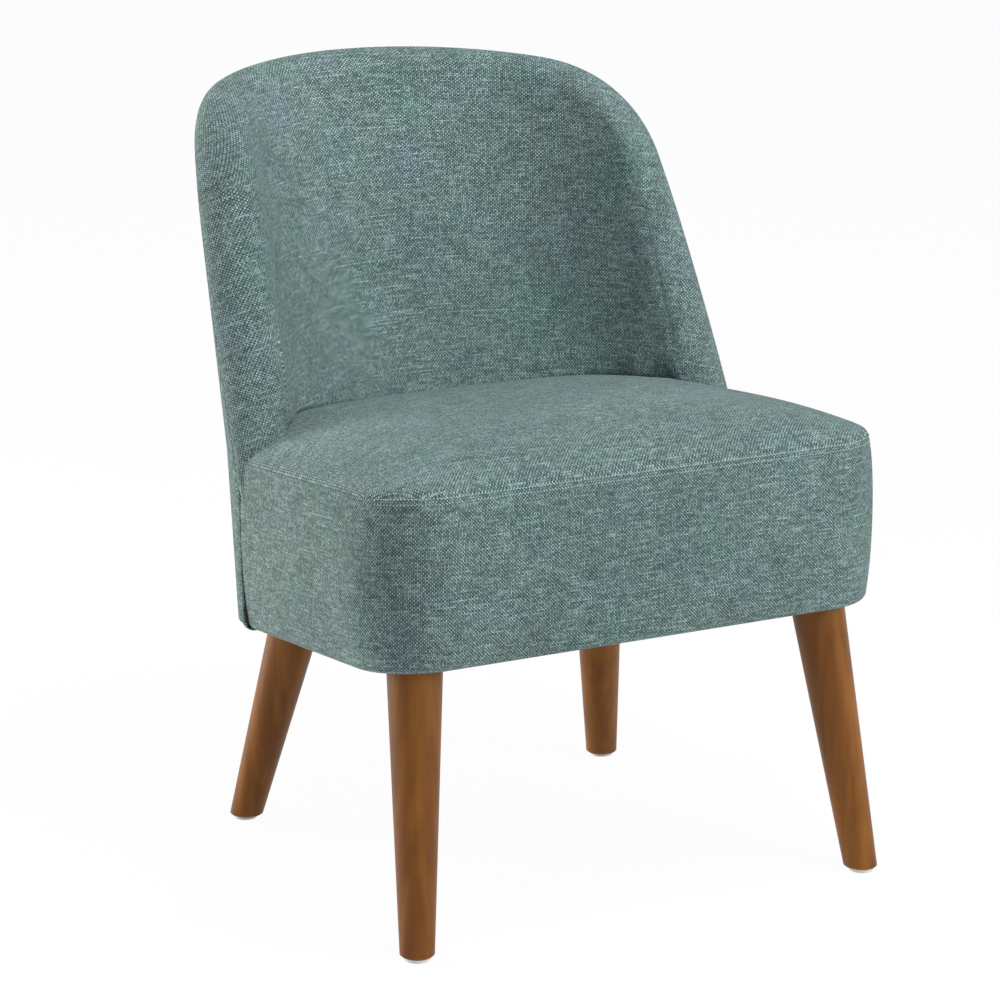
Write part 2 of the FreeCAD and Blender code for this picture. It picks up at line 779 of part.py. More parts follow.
wadding_depth = cover_depth + wadding_thickness
foam_depth = wadding_depth + clearance
foam_back = frame_inner_depth + webbing_thickness + 2 * clearance
sweep = whole_sweep()
save("inside_back_cover", fan(lambda a: layer_section(a, 0.0, cover_thickness, 0.0, 0.0), sweep))
wadding_turns = (frame_turn(cover_depth), frame_turn(wadding_depth))
save("back_wadding", fan(lambda a: layer_section(a, cover_depth, wadding_depth, *wadding_turns), sweep))
save("back_foam", fan(lambda a: foam_section(a, foam_depth, foam_back), sweep))
board_depth = (cover_depth, cover_depth + board_thickness)
save("outside_back_cover", fan(outside_section, sweep).cut(staple_shape))
save("outside_back_board", fan(lambda a: sheet_section(
    a, *board_depth, barrel_z(a, rail_base), below_rim(a, roll_rise + tack_strip_width) - clearance), sweep))
save("back_tack_strip", fan(lambda a: sheet_section(
    a, *board_depth, below_rim(a, roll_rise + tack_strip_width), below_rim(a, roll_rise) - clearance), sweep))

dust_outline = outline(dust_cover_inset, dust_cover_level, bottom_rear)
dust_cover = prism(dust_outline, dust_cover_thickness).cut(bolt_shape).cut(staple_shape)
save("dust_cover", dust_cover)
save("dust_cover_staples", staple_shape)

for place, (foot, run), insert in zip(("front", "rear"), legs, inserts):
    save_pair(place + "_leg", make_leg(foot, run))
    save_pair(place + "_glide", make_glide(foot))
save("leg_bolts", bolt_shape)
save("leg_inserts", Part.Compound(both_sides(inserts)))
save("glide_nails", Part.Compound(both_sides([glide_nail(foot) for foot, run in legs])))
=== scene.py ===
# %% [markdown]
# # An armless barrel-back lounge chair
# The chair is a sprung, boxed seat with a padded back that wraps round it like half a barrel, all in one
# teal chenille, on four round tapered legs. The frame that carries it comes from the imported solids, and
# this lesson dresses that frame: it makes the cloth pieces, their seams and stitches, and every finish.

# %% Load the frame
import bmesh
import bpy
import json
import math
import numpy as np
from mathutils import Matrix, Vector


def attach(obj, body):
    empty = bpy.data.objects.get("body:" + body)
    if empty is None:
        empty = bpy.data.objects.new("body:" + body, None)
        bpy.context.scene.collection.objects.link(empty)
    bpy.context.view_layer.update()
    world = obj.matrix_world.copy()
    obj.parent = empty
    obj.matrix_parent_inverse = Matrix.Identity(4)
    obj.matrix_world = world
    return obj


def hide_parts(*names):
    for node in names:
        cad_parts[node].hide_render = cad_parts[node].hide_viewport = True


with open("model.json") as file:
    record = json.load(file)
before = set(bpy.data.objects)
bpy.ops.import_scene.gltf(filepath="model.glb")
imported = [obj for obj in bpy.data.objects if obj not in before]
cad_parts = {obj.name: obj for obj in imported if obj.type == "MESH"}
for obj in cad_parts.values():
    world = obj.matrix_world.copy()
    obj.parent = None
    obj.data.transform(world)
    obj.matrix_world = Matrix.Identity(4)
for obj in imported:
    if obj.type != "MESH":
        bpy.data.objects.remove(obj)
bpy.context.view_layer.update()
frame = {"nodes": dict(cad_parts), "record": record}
nodes = frame["nodes"]
scene = bpy.context.scene
MM = 0.001
print("nodes in the frame:", len(nodes))

# %% [markdown]
# ## Sizes of the seat
# The cloth follows the padding under it, so it repeats the sizes of the seat box, in millimetres. Heights
# on the seat are levels above its underside, because the whole box falls a little toward the back.

# %% Seat sizes
front_y = -297.7
seat_half_width = 277.0
corner_radius = 69.0
underside_height = 267.5
seat_slope = 0.08
boxing_height = 161.0
top_draw_in = 4.0
seat_crown = 43.0
crown_power = 4.4
crown_middle = 215.0
crown_rear_reach = 292.0
crown_rear_power = 2.5


def seat_z(y, level):
    return underside_height - seat_slope * (y - front_y) + level


def crown_rise(x, along):
    """How far the crown lifts the seat, at a distance behind the crown's middle."""
    across = 1 - min(1.0, abs(x) / (seat_half_width - top_draw_in)) ** crown_power
    if along < 0:
        length = 1 - min(1.0, -along / (crown_middle - top_draw_in)) ** crown_power
    else:
        length = 1 - (along / crown_rear_reach) ** crown_rear_power
    return seat_crown * min(across, length) * max(0.0, across, length)


print("top of the seat at", round(seat_z(front_y + crown_middle, boxing_height + seat_crown), 1), "mm")

# %% [markdown]
# ## Sizes of the back
# The back is part of a leaning barrel. A place on it is given by the angle of an upright plane that turns
# about an axis over the seat, by its height and by its depth inside the barrel. The padded top edge is a
# flat arc with a tighter arc at each shoulder and a straight line down each wing.

# %% Barrel sizes
barrel_radius = 283.5
barrel_start = 406.0
barrel_rear = 527.0
barrel_rake = 0.247
lower_flare = 0.08
fan_axis_y = front_y + 239.0
end_angle = 78.25
side_end_y = fan_axis_y + seat_half_width / math.tan(math.radians(end_angle))
back_height = 753.0
crown_arc = 1144.0
crown_arc_end = 8.3
shoulder_arc = 166.0
wing_lean = 64.2
unrolled_radius = 290.0


def rim(angle):
    """Height of the padded top edge at an angle, and its lean from level there."""
    along = unrolled_radius * math.radians(abs(angle))
    crown_lean = math.radians(crown_arc_end)
    side_lean = math.radians(wing_lean)
    crown_end = crown_arc * math.sin(crown_lean)
    crown_low = back_height - crown_arc * (1 - math.cos(crown_lean))
    shoulder_end = crown_end + shoulder_arc * (math.sin(side_lean) - math.sin(crown_lean))
    shoulder_low = crown_low - shoulder_arc * (math.cos(crown_lean) - math.cos(side_lean))
    if along < crown_end:
        lean = math.asin(along / crown_arc)
        return back_height - crown_arc * (1 - math.cos(lean)), lean
    if along < shoulder_end:
        lean = math.asin((along - crown_end) / shoulder_arc + math.sin(crown_lean))
        return crown_low - shoulder_arc * (math.cos(crown_lean) - math.cos(lean)), lean
    return shoulder_low - (along - shoulder_end) * math.tan(side_lean), side_lean


def below_rim(angle, distance):
    height, lean = rim(angle)
    return height - distance / math.cos(lean)


def on_barrel(angle, z, depth):
    """Point at a depth inside the barrel, in the upright plane at an angle."""
    turn = math.radians(angle)
    radius = barrel_radius + lower_flare * max(0.0, barrel_start - z)
    middle = front_y + barrel_rear + barrel_rake * (z - barrel_start) - radius
    offset = fan_axis_y - middle
    reach = math.sqrt(radius ** 2 - (offset * math.sin(turn)) ** 2) - offset * math.cos(turn) - depth
    return Vector((reach * math.sin(turn), fan_axis_y + reach * math.cos(turn), z))


def unrolled(place, radius):
    """A place on the barrel laid flat: its way round at a radius, and its height."""
    return math.atan2(place.x, place.y - fan_axis_y) * radius, place.z


print("side seam at y =", round(side_end_y, 1), "mm")

# %% [markdown]
# ## Padding of the back
# The padding is a roll along the top edge. Under it the inside face grows thicker toward the seat, most in
# the middle, where it holds the small of the back.

# %% Padding sizes
cover_thickness = 2.0
roll_thickness = 50.0
roll_rise = 20.0
lumbar_thickness = 88.0
wing_thickness = 54.0
tuck_level = 90.0


def barrel_z(angle, level):
    """Height of a level of the seat, at the outside of the barrel."""
    near = seat_z(fan_axis_y, level)
    return seat_z(on_barrel(angle, near, cover_thickness).y, level)


def back_depth(angle, z):
    """Depth of the inside face of the back, at a height under its padded edge."""
    base = below_rim(angle, roll_rise)
    low = barrel_z(angle, tuck_level)
    share = max(0.0, (base - z) / (base - low))
    bend = math.cos(math.pi / 2 * min(1.0, abs(angle) / end_angle)) ** 2
    growth = wing_thickness + (lumbar_thickness - wing_thickness) * bend - roll_thickness
    return roll_thickness + growth * share


print("padding at the foot:", round(back_depth(0.0, barrel_z(0.0, tuck_level)), 1), "mm in the middle")

# %% [markdown]
# ## Cloth from a grid
# Each cloth piece is a grid of rows that follow the padding. Its map is laid out in metres, as the cloth
# would lie flat, so that the weave keeps one size and follows the surface. A plain band is measured along
# its rows and columns. The other panels give the flat place of each of their points.

# %% Grid helper
def spread(start, end, count):
    return [start + (end - start) * i / count for i in range(count + 1)]


def lengths_along(points):
    steps = np.linalg.norm(np.diff(points, axis=0), axis=-1)
    return np.concatenate([np.zeros((1,) + steps.shape[1:]), np.cumsum(steps, axis=0)])


def cloth_from_grid(name, rows, flat=None):
    """Mesh from rows of points in millimetres, with a map in metres."""
    grid = np.array([[tuple(p) for p in row] for row in rows]) * MM
    if flat:
        across, down = (np.array(flat) * MM).transpose(2, 0, 1)
    else:
        across = lengths_along(grid.transpose(1, 0, 2)).T
        across = across - across[:, across.shape[1] // 2][:, None]
        down = lengths_along(grid)
    count_v, count_u = grid.shape[:2]
    index = np.arange(count_v * count_u).reshape(count_v, count_u)
    a, b = index[:-1, :-1].ravel(), index[:-1, 1:].ravel()
    c, d = index[1:, 1:].ravel(), index[1:, :-1].ravel()
    mesh = bpy.data.meshes.new(name)
    mesh.from_pydata(grid.reshape(-1, 3).tolist(), [], np.stack([a, b, c, d], axis=1).tolist())
    places = np.stack([across.ravel(), down.ravel()], axis=1)
    layer = mesh.uv_layers.new(name="cloth")
    corner = np.zeros(len(mesh.loops), dtype=np.int32)
    mesh.loops.foreach_get("vertex_index", corner)
    layer.data.foreach_set("uv", places[corner].astype(np.float32).ravel())
    mesh.polygons.foreach_set("use_smooth", [True] * len(mesh.polygons))
    mesh.update()
    piece = bpy.data.objects.new(name, mesh)
    scene.collection.objects.link(piece)
    return piece


print("grid helper ready")

# %% [markdown]
# ## Outside back
# The outside panel closes the barrel behind. It is blind sewn to the inside panel along the padded edge and
# to the boxing at the sides, so all its edges turn in, and its lower edge rolls under the rear rail. The
# side seams lean back with the barrel.

# %% Outside back panel
outside_columns = 200
outside_rows = 60
under_radius = 9.0
under_turns = spread(math.pi / 12, math.pi / 2, 5)
under_drop = 0.6  # how far a hem lies below the rails
hem_width = 20.0
seam_turn = 3.0  # cloth turned in at the blind seam of the padded edge
seam_gap = 2.0
groove_depth = 1.8  # how deep the edges turn in
groove_reach = 3.0  # height over which the cloth comes out of the upper groove
outside_bulge = 2.8
bulge_at_top = 0.4  # share of the bulge that it has close under the seam
seam_slant = 9.0  # how far forward the rear seam lies at the bottom
slant_power = 8  # keeps the slant close to the ends of the panel
end_reach = 1.2  # degrees over which the ends turn in
end_sharpness = 2.0
end_gap = 0.15  # degrees between an end and the side seam


def outside_place(angle, z, depth):
    """Point of the outside panel, whose ends run forward toward the bottom."""
    level = z - seat_z(side_end_y, 0.0)
    forward = seam_slant * max(0.0, 1 - max(0.0, level) / boxing_height)
    share = (abs(angle) / end_angle) ** slant_power
    turn = math.degrees(forward / seat_half_width) * share
    return on_barrel(angle + math.copysign(turn, angle), z, depth)


def outside_column(angle):
    top = below_rim(angle, roll_rise) - seam_gap
    low = barrel_z(angle, 0.0) - under_drop
    edge = (end_angle - abs(angle)) / end_reach
    tuck = groove_depth * math.exp(-edge ** 2 * end_sharpness)
    points = [outside_place(angle, top + seam_gap + seam_turn, groove_depth)]
    for z in spread(top, low + under_radius, outside_rows):
        near_seam = math.exp(-(top - z) / groove_reach)
        fall = (top - z) / (top - low)
        bulge = outside_bulge * (1 - near_seam) * (bulge_at_top + (1 - bulge_at_top) * fall)
        depth = tuck + groove_depth * near_seam - bulge * (1 - math.exp(-edge))
        points.append(outside_place(angle, z, depth))
    for turn in under_turns:
        depth = tuck + under_radius * (1 - math.cos(turn))
        points.append(outside_place(angle, low + under_radius * (1 - math.sin(turn)), depth))
    points.append(outside_place(angle, low, hem_width + tuck))
    return points


def flat_outside(column):
    """Column laid flat: its way round at the barrel's radius, and its length from the top."""
    lengths = lengths_along(np.array([tuple(place) for place in column]))
    return [(unrolled(place, barrel_radius)[0], column[0].z - down) for place, down in zip(column, lengths)]


outside_shares = [(s + math.sin(math.pi / 2 * s)) / 2 for s in spread(-1.0, 1.0, outside_columns)]
outside_grid = [outside_column((end_angle - end_gap) * share) for share in outside_shares]
outside_flat = [flat_outside(column) for column in outside_grid]
outside_panel = cloth_from_grid("outside_back_panel", list(zip(*outside_grid)), list(zip(*outside_flat)))
print("outside back panel:", len(outside_panel.data.vertices), "points")

# %% [markdown]
# ## Outline of the seat
# The boxing, the seat panel and the dust cover all follow the plan of the seat box: two sides, two rounded
# corners and the front, at some distance inside the outline.

# %% Outline
side_steps = 40
corner_steps = 26
front_steps = 80


def outline_points(inset, end_y):
    """Places round the seat from the left rear to the right rear."""
    wide = seat_half_width - inset
    front = front_y + inset
    radius = corner_radius - inset
    straight = wide - radius
    left = [(-wide, y) for y in spread(end_y, front + radius, side_steps)]
    for turn in spread(0.0, math.pi / 2, corner_steps)[1:-1]:
        left.append((-straight - radius * math.cos(turn), front + radius - radius * math.sin(turn)))
    right = [(-x, y) for x, y in reversed(left)]
    return left + [(x, front) for x in spread(-straight, straight, front_steps)] + right


print("outline:", len(outline_points(0.0, side_end_y)), "places")

# %% [markdown]
# ## Boxing band
# The boxing is one band of cloth round the front and sides of the seat. It bulges slightly, turns in at the
# seat seam and rolls under the rails. At the rear it runs on a little way behind the outside back.

# %% Boxing band
band_rows = 44
band_bulge = 2.0
bulge_power = 0.8
bottom_draw_in = 4.0
bottom_fade = 5.0  # how fast the draw-in at the bottom runs out
top_fade = 7.0  # how fast the draw-in at the top runs out
seam_follow = 0.25  # share of the crown that the seam follows at a corner
follow_power = 4  # keeps that rise close to the seam
band_turn = 1.4  # cloth turned in at the seat seam
band_turn_drop = 0.6
rear_gap = 0.5  # between the boxing's rear edge and the side seam
rear_turn = 7.0  # cloth that runs on behind the outside back
rear_tuck = 2.4  # how deep it lies there


def seam_lift(x, y):
    """How far the seat seam rises over the boxing's level, which it does at the rounded corners."""
    return seam_follow * crown_rise(x, y - front_y - crown_middle)


def rear_edge(level):
    """The rear seam of the boxing, which leans back like the barrel behind it."""
    return side_end_y - rear_gap - seam_slant * (1 - level / boxing_height)


def band_inset(level):
    """How far the band lies inside the outline at a level."""
    share = level / boxing_height
    low = bottom_draw_in * math.exp(-share * bottom_fade)
    high = top_draw_in * math.exp(-(1 - share) * top_fade)
    return low + high - band_bulge * math.sin(math.pi * share) ** bulge_power


def band_row(inset, level):
    share = max(0.0, level) / boxing_height
    row = []
    for x, y in outline_points(inset, rear_edge(level)):
        row.append(Vector((x, y, seat_z(y, level) + seam_lift(x, y) * share ** follow_power)))
    left_end = row[0] + Vector((rear_tuck, rear_turn, 0.0))
    right_end = row[-1] + Vector((-rear_tuck, rear_turn, 0.0))
    return [left_end] + row + [right_end]


band_profile = [(band_turn + band_inset(boxing_height), boxing_height - band_turn_drop)]
for level in spread(boxing_height, under_radius, band_rows):
    band_profile.append((band_inset(level), level))
for turn in under_turns:
    band_profile.append((band_inset(under_radius) + under_radius * (1 - math.cos(turn)),
                         under_radius * (1 - math.sin(turn)) - under_drop))
band_profile.append((hem_width + bottom_draw_in, -under_drop))
band_grid = [band_row(*spot) for spot in band_profile]
boxing_band = cloth_from_grid("boxing_band", band_grid)
print("boxing band:", len(boxing_band.data.vertices), "points")

# %% [markdown]
# ## Top of the seat
# The foam crowns the seat. Just inside the seam the cloth stands up a little more, like the edge of a
# pillow. The back ends in a crease where its inside face meets this top, which takes a few rounds to find.

# %% Seat top
clearance = 0.3  # between the foam's wadding and the cloth
edge_fullness = 2.6  # how far the cloth stands up just inside its seam
edge_reach = 22.0
edge_peak = 2.7  # brings the highest place of the swelling to its full height
rim_level = -0.4  # seam of the panel against the top of the boxing
crease_gap = -1.0
crease_rounds = 6


def from_seam(x, y):
    """Distance of a place on the seat from the seam of its top, less than nothing outside it."""
    beside = abs(x) - (seat_half_width - corner_radius)
    ahead = front_y + corner_radius - y
    radius = corner_radius - top_draw_in
    if beside > 0 and ahead > 0:
        return radius - math.hypot(beside, ahead)
    return radius - max(beside, ahead)


def seat_top(x, y):
    inside = max(0.0, from_seam(x, y))
    spread_out = inside / edge_reach
    pillow = edge_fullness * edge_peak * spread_out * math.exp(-spread_out)
    seam = math.exp(-inside / cover_thickness)
    rise = crown_rise(x, y - front_y - crown_middle) * (1 - seam * (1 - seam_follow))
    base = clearance + cover_thickness
    return seat_z(y, boxing_height + base + (rim_level - base) * seam + rise + pillow)


def crease_point(angle):
    """Where the seat meets the inside of the back, at an angle."""
    z = seat_z(fan_axis_y, boxing_height)
    for number in range(crease_rounds):
        p = on_barrel(angle, z, back_depth(angle, z) + crease_gap)
        z = seat_top(p.x, p.y)
    return p.x, p.y


print("crease in the middle at y =", round(crease_point(0.0)[1], 1), "mm")

# %% [markdown]
# ## Seat panel
# Rings run from the middle of the panel to its seam, closer together at the edge, where the crown is
# steepest. Behind, the edge rolls down into the crease in front of the back. The rings meet at the middle
# and along one line, so points that fall together are merged.

# %% Seat panel
seat_rings = 46
ring_crowding = 1.6
rear_steps = 120
under_wing = 8.0  # how far the panel runs in under the wings
crease_round = 1.8  # how far the cloth rolls down at the crease
crease_sharpness = 34.0
crease_drop = 26.0
seam_shrink = 0.006  # share by which the cloth in the seam is drawn in
seat_middle_y = front_y + crown_middle
seat_rim = outline_points(top_draw_in, side_end_y + under_wing)
edge_count = len(seat_rim)
crease_end = end_angle - math.degrees(under_wing / seat_half_width)
seat_rim += [crease_point(angle) for angle in spread(crease_end, -crease_end, rear_steps)]
seat_rim.append(seat_rim[0])
merge_distance = 0.02 * MM


def is_behind(i):
    """Whether a point of the rim lies in the crease and not on the seam."""
    return edge_count <= i < len(seat_rim) - 1


def seat_ring(share):
    ring = []
    for i, (x, y) in enumerate(seat_rim):
        px = x * share
        py = seat_middle_y + (y - seat_middle_y) * share
        dip = crease_round * share ** crease_sharpness if is_behind(i) else 0.0
        ring.append(Vector((px, py, seat_top(px, py) - dip)))
    return ring


def seat_edge(down):
    """The outermost ring, let down into the seam in front and into the crease behind."""
    ring = []
    for i, (x, y) in enumerate(seat_rim):
        behind = is_behind(i)
        drop = crease_round + crease_drop * down if behind else band_turn * down
        shrink = 1.0 if behind else 1 - seam_shrink * down
        py = seat_middle_y + (y - seat_middle_y) * shrink
        ring.append(Vector((x * shrink, py, seat_top(x, y) - drop)))
    return ring


def merge_points(piece):
    work = bmesh.new()
    work.from_mesh(piece.data)
    bmesh.ops.remove_doubles(work, verts=work.verts, dist=merge_distance)
    work.to_mesh(piece.data)
    work.free()


ring_shares = [1 - (1 - i / seat_rings) ** ring_crowding for i in range(seat_rings + 1)]
seat_rows = [seat_ring(share) for share in ring_shares] + [seat_edge(0.5), seat_edge(1.0)]
seat_panel = cloth_from_grid("seat_panel", seat_rows, [[(p.x, p.y) for p in row] for row in seat_rows])
merge_points(seat_panel)
print("seat panel:", len(seat_panel.data.vertices), "points")

# %% [markdown]
# ## How the inside back swells
# Just over the seat the cloth swells and is then pulled into the crease, which leaves a few soft upright
# folds. Each fold has an angle, a width in degrees and a height. The wings carry extra padding behind their
# front edges and at their feet.

# %% Swellings of the inside back
wing_fill = 7.0  # extra padding behind the wings' front edges
wing_fill_angle = 52.0
wing_fill_spread = 15.0
foot_fill = 9.0  # extra padding at the foot of each wing
foot_angle = 66.0
foot_spread = 12.0
foot_fade = 75.0
foot_round = 28.0
swell = 5.0  # how far the cloth swells out over the crease
swell_round = 8.0
swell_fade = 60.0
swell_end = 74.0  # angle where the swell has run out
swell_run_out = 14.0
fold_fade = 55.0
fold_spots = ((-66.0, 3.0, 4.5), (-53.0, 2.2, 3.4), (-30.0, 2.8, 2.4), (-22.0, 2.2, 2.2), (17.0, 3.0, 2.0),
              (44.0, 2.4, 3.0), (61.0, 3.0, 4.0))


def bell(distance, width):
    return math.exp(-(distance / width) ** 2)


def fading(above, reach):
    return math.exp(-max(0.0, above) / reach)


def fold_lift(angle, above):
    """Soft folds that rise from the crease and fade up the back."""
    fade = fading(above, fold_fade)
    return sum(height * fade * bell(angle - spot, width) for spot, width, height in fold_spots)


def turned_in(above, rounding):
    """Share of a swelling that is left where the cloth turns into the crease."""
    return math.sqrt(1 - max(0.0, 1 - max(0.0, above) / rounding) ** 2)


def swell_lift(angle, above):
    """Swelling of the back over the crease, at a height above it."""
    share = max(0.0, min(1.0, (swell_end - abs(angle)) / swell_run_out))
    return swell * share * turned_in(above, swell_round) * fading(above, swell_fade)


def wing_lift(angle, above, share):
    """Padding of the wings, from the roll's foot down to the crease."""
    side = wing_fill * bell(abs(angle) - wing_fill_angle, wing_fill_spread) * math.cos(math.pi / 2 * share)
    foot = foot_fill * bell(abs(angle) - foot_angle, foot_spread) * fading(above, foot_fade)
    return side + foot * turned_in(above, foot_round)


print("folds over the crease:", len(fold_spots))

# %% [markdown]
# ## Inside back
# One panel lies on the inside of the barrel, rolls over the padded edge and ends at the seam behind it.
# Each column starts in that seam, goes over the roll, down the face and into the crease. The panel goes on
# a little past the side seams, so that the wings dive into the seat.

# %% Inside back columns
back_columns = 220
roll_rows = 14
face_rows = 34
swell_rows = 12
tuck_rows = 4
wing_dive = 3.4  # degrees past the side seam
dive_draw_in = 7.0  # how far the dive leaves the outside
seam_drop = 1.8  # how far the cloth goes down into the seam behind
roll_fullness = 0.6  # how much the cloth stands off the roll's crest
face_fullness = 1.4  # how much it stands off the inside face
roll_lip = 0.6  # how much it stands out over the outside seam
lip_sharpness = 6.0
tuck_rise = 15.0  # how far over the tuck level the panel ends
bend_share = 0.25  # the swelling starts at least this far down the face
tuck_share = 0.3  # and has ended at least this far down the rest
tuck_gap = 1.0


def crease_height(angle):
    return seat_top(*crease_point(max(-crease_end, min(crease_end, angle))))


def back_column(angle):
    shift = dive_draw_in * max(0.0, abs(angle) - end_angle) / wing_dive
    base = below_rim(angle, roll_rise)
    rise = (roll_rise + roll_fullness) / math.cos(rim(angle)[1])
    half = roll_thickness / 2
    crease = crease_height(angle)
    foot = face_fullness + wing_lift(angle, base - crease, 0.0)
    points = [on_barrel(angle, base - seam_drop, seam_turn + shift)]
    for turn in spread(0.0, math.pi, roll_rows):
        full = foot if turn > math.pi / 2 else roll_lip * (1 - math.exp(-lip_sharpness * turn))
        depth = half - (half + full) * math.cos(turn)
        z = base + rise * math.sin(turn)
        points.append(on_barrel(angle, z, depth + shift * (1 - depth / roll_thickness)))
    low = barrel_z(max(-end_angle, min(end_angle, angle)), tuck_level + tuck_rise)
    bend = min(crease + 2 * swell_round, base + (low - base) * bend_share)
    tuck = min(crease - tuck_gap, bend + (low - bend) * tuck_share)
    heights = spread(base, bend, face_rows)[1:]
    heights += spread(bend, tuck, swell_rows)[1:]
    heights += spread(tuck, low, tuck_rows)[1:]
    for z in heights:
        above = z - crease
        share = max(0.0, min(1.0, (base - z) / (base - low)))
        stand = face_fullness + wing_lift(angle, above, share)
        stand += fold_lift(angle, above) + swell_lift(angle, above)
        points.append(on_barrel(angle, z, back_depth(angle, z) + stand))
    return points


back_angles = spread(-end_angle - wing_dive, end_angle + wing_dive, back_columns)
back_grid = [back_column(angle) for angle in back_angles]
print("inside back:", len(back_grid), "columns of", len(back_grid[0]), "points")

# %% [markdown]
# ## Lay the inside back flat
# The face is unrolled round the barrel. The roll is spread out square to the padded edge, so that the weave
# runs straight over it on the wings too.

# %% Inside back panel
base_row = roll_rows + 1  # row at the inner foot of the roll
face_radius = barrel_radius - roll_thickness
roll_girth = math.pi / 2 * (roll_thickness / 2 + roll_rise)
bases = [Vector(unrolled(column[base_row], face_radius)) for column in back_grid]


def flat_column(i):
    along = (bases[min(back_columns, i + 1)] - bases[max(0, i - 1)]).normalized()
    square = Vector((-along.y, along.x))
    flat = []
    for row, place in enumerate(back_grid[i]):
        if row > base_row:
            flat.append(unrolled(place, face_radius))
        else:
            over = roll_girth * (base_row - row) / roll_rows
            slide = (place.z - bases[i].y) * along.y
            flat.append(tuple(bases[i] + along * slide + square * over))
    return flat


back_flat = [flat_column(i) for i in range(back_columns + 1)]
back_panel = cloth_from_grid("inside_back_panel", list(zip(*back_grid)), list(zip(*back_flat)))
print("inside back panel:", len(back_panel.data.vertices), "points")

# %% [markdown]
# ## Camera
# The camera stands where the photograph was taken from, with a long lens, a little above the seat.

# %% Camera
camera_place = Vector((-1.6720, -2.9896, 1.1887))
camera_axes = ((0.87194, -0.48962, 0.0), (0.11818, 0.21045, 0.97044), (-0.47515, -0.84616, 0.24136))
camera_data = bpy.data.cameras.new("camera")
camera_data.sensor_width = 36.0
camera_data.lens = 128.44
camera = bpy.data.objects.new("camera", camera_data)
camera_turn = Matrix(camera_axes).transposed().to_4x4()
camera.matrix_world = Matrix.Translation(camera_place) @ camera_turn
scene.collection.objects.link(camera)
scene.camera = camera
scene.view_settings.view_transform = "Standard"
print("camera at", [round(v, 3) for v in camera_place])

# %% [markdown]
# ## Faces outward
# A face has an outer and an inner side. One face near the middle of each panel shows which way the panel
# looks, and the whole panel is turned over if that is the wrong way.

# %% Turn the faces outward
def face_out(piece, face, outward):
    normal = piece.data.polygons[face].normal
    if normal.dot(Vector(outward)) < 0:
        piece.data.flip_normals()


def middle_face(rows, columns):
    return rows // 2 * columns + columns // 2


inner_ring = 10
back_rows = len(back_grid[0])
ring_points = len(seat_rim) - 1
face_out(back_panel, middle_face(back_rows, back_columns), (0, -1, 0))
face_out(outside_panel, middle_face(outside_rows, outside_columns), (0, 1, 0))
face_out(boxing_band, middle_face(band_rows, len(band_grid[0]) - 1), (0, -1, 0))
face_out(seat_panel, inner_ring * ring_points, (0, 0, 1))
print("faces turned outward on 4 panels")

# %% [markdown]
# ## Let the cloth settle
# A cover is pulled over soft filling, so a short cloth simulation swells each of the two large panels while
# their seams are held. No point may move further than a cap or into the padding, which keeps the cloth on
# it. Each point then shares its movement with its neighbours, so that the panels stay smooth.

# %% Settle the panels
settle_cap = 2.5
settle_frames = 20
smoothing_rounds = 40
cloth_settings = {"quality": 6, "mass": 0.3, "tension_stiffness": 25.0, "compression_stiffness": 25.0,
                  "shear_stiffness": 10.0, "bending_stiffness": 4.0, "vertex_group_mass": "held",
                  "use_pressure": True, "uniform_pressure_force": 4.0}


def points_of(mesh):
    places = np.zeros(len(mesh.vertices) * 3, dtype=np.float32)
    mesh.vertices.foreach_get("co", places)
    return places.reshape(-1, 3)


def even_out(lift, mesh, held):
    """Share each point's movement with its neighbours, so that no single point stands out."""
    ends = np.zeros(len(mesh.edges) * 2, dtype=np.int32)
    mesh.edges.foreach_get("vertices", ends)
    first, second = ends.reshape(-1, 2).T
    count = np.bincount(ends, minlength=len(lift))
    for number in range(smoothing_rounds):
        lift[held] = 0.0
        total = np.bincount(first, lift[second], len(lift)) + np.bincount(second, lift[first], len(lift))
        lift = 0.5 * (lift + total / count)
    lift[held] = 0.0
    return lift


def settle(piece, held):
    before = points_of(piece.data).copy()
    group = piece.vertex_groups.new(name="held")
    group.add(held, 1.0, "REPLACE")
    cloth = piece.modifiers.new("settle", "CLOTH")
    for setting, value in cloth_settings.items():
        setattr(cloth.settings, setting, value)
    cloth.settings.effector_weights.gravity = 0.0
    cloth.collision_settings.use_collision = False
    for number in range(1, settle_frames + 1):
        scene.frame_set(number)
    graph = bpy.context.evaluated_depsgraph_get()
    move = points_of(piece.evaluated_get(graph).data) - before
    normals = np.zeros(before.size, dtype=np.float32)
    piece.data.vertex_normals.foreach_get("vector", normals)
    normals = normals.reshape(-1, 3)
    lift = np.clip(np.sum(move * normals, axis=1), 0.0, settle_cap * MM)
    lift = even_out(lift, piece.data, held)
    piece.modifiers.clear()
    piece.vertex_groups.clear()
    piece.data.vertices.foreach_set("co", (before + normals * lift[:, None]).astype(np.float32).ravel())
    piece.data.update()
    scene.frame_set(1)
    print(piece.name, "moved out by", round(float(lift.mean()) / MM, 2), "mm on average")


seam_held_rows = 4
wing_held_columns = 6
hidden_rows = swell_rows + tuck_rows
seat_held_rings = 4
index = np.arange(back_rows * (back_columns + 1)).reshape(back_rows, back_columns + 1)
held_parts = (index[:seam_held_rows], index[-hidden_rows:],
              index[:, :wing_held_columns], index[:, -wing_held_columns:])
back_held = np.unique(np.concatenate([part.ravel() for part in held_parts]))
settle(back_panel, back_held.tolist())
seat_count = len(seat_panel.data.vertices)
settle(seat_panel, list(range(seat_count - ring_points * seat_held_rings, seat_count)))

# %% [markdown]
# ## Close the shapes
# Every panel gets the thickness of its cloth on the inner side, which makes it a closed form.

